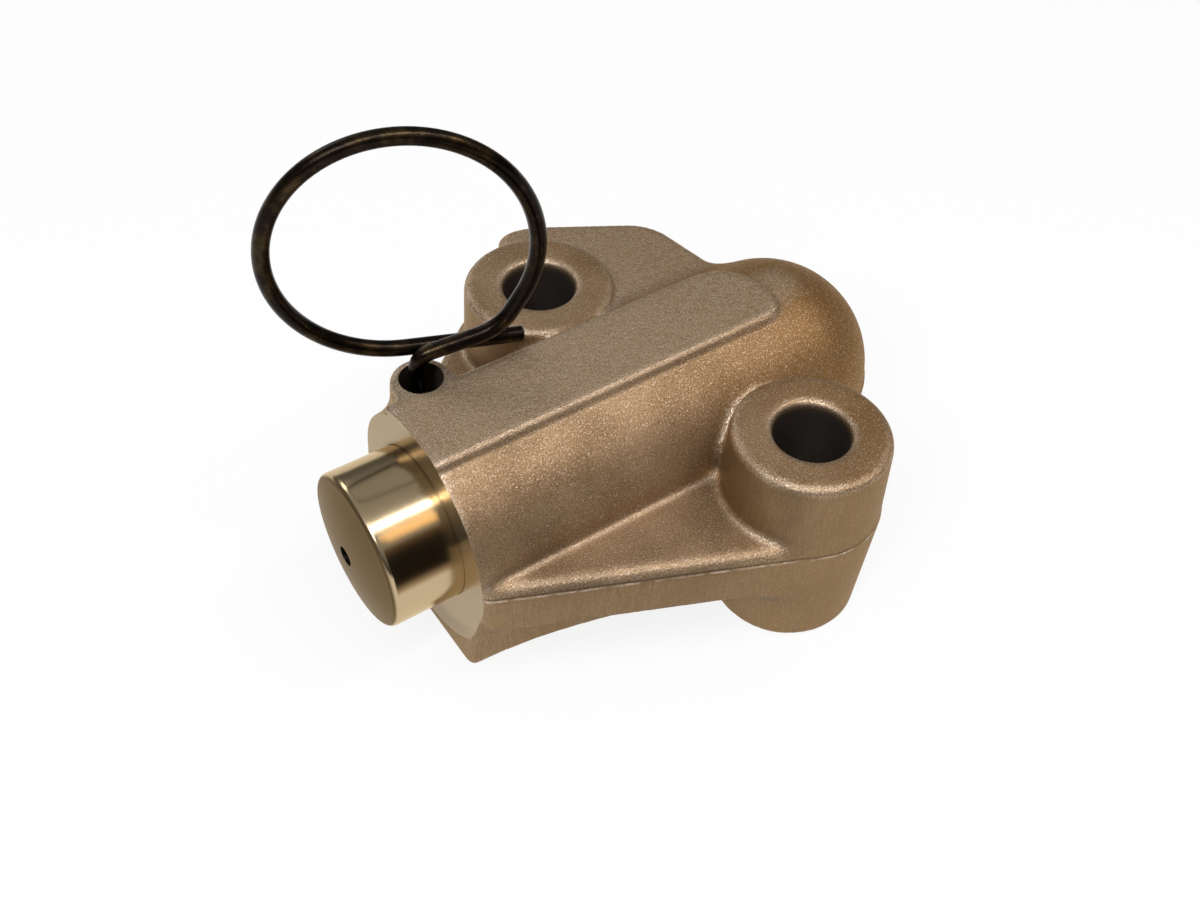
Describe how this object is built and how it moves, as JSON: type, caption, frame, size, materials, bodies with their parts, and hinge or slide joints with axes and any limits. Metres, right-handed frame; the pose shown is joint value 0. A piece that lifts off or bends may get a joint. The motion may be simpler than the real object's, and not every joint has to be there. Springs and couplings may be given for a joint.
{
  "type": "timing chain tensioner",
  "caption": "Hydraulic timing chain tensioner: a die-cast housing with bolt lugs, a ratchet plunger that presses on the chain guide, and a wire lock pin with a pull ring.",
  "frame": {"origin": "middle of the two bolt holes, on the mounting face", "axes": "+X is the way the plunger moves out, +Y is towards the near lug, +Z is along the bolts, away from the mounting face"},
  "size_m": [0.0698, 0.0579, 0.0585],
  "materials": {
    "cast_alloy": "die cast and blasted, with a fine sparkling grain",
    "ground_steel": "ground and polished",
    "valve_steel": "bright drawn",
    "dark_wire": "oil-blackened spring wire",
    "nylon": "moulded"
  },
  "bodies": {
    "housing": {"housing": "cast_alloy", "plunger_spring": "valve_steel", "check_valve_seat": "valve_steel", "check_valve_cage": "valve_steel", "check_valve_spring": "valve_steel", "ratchet_clip": "dark_wire"},
    "plunger": {"plunger": "ground_steel", "vent_disc": "nylon", "volume_reducer": "nylon"},
    "check_ball": {"check_valve_ball": "ground_steel"},
    "lock_pin": {"lock_pin": "dark_wire"}
  },
  "joints": [
    {"name": "plunger_slide", "type": "slide", "parent": "housing", "child": "plunger", "axis": [1, 0, 0], "range_m": [0, 0.015], "deforming": ["plunger_spring", "ratchet_clip"]},
    {"name": "lock_pin_pull", "type": "slide", "parent": "housing", "child": "lock_pin", "axis": [0, 0, 1], "range_m": [0, 0.03]},
    {"name": "check_ball_lift", "type": "slide", "parent": "housing", "child": "check_ball", "axis": [1, 0, 0], "range_m": [0, 0.0008], "stiffness_N_per_m": 50, "springref_m": -0.002, "deforming": ["check_valve_spring"]}
  ]
}
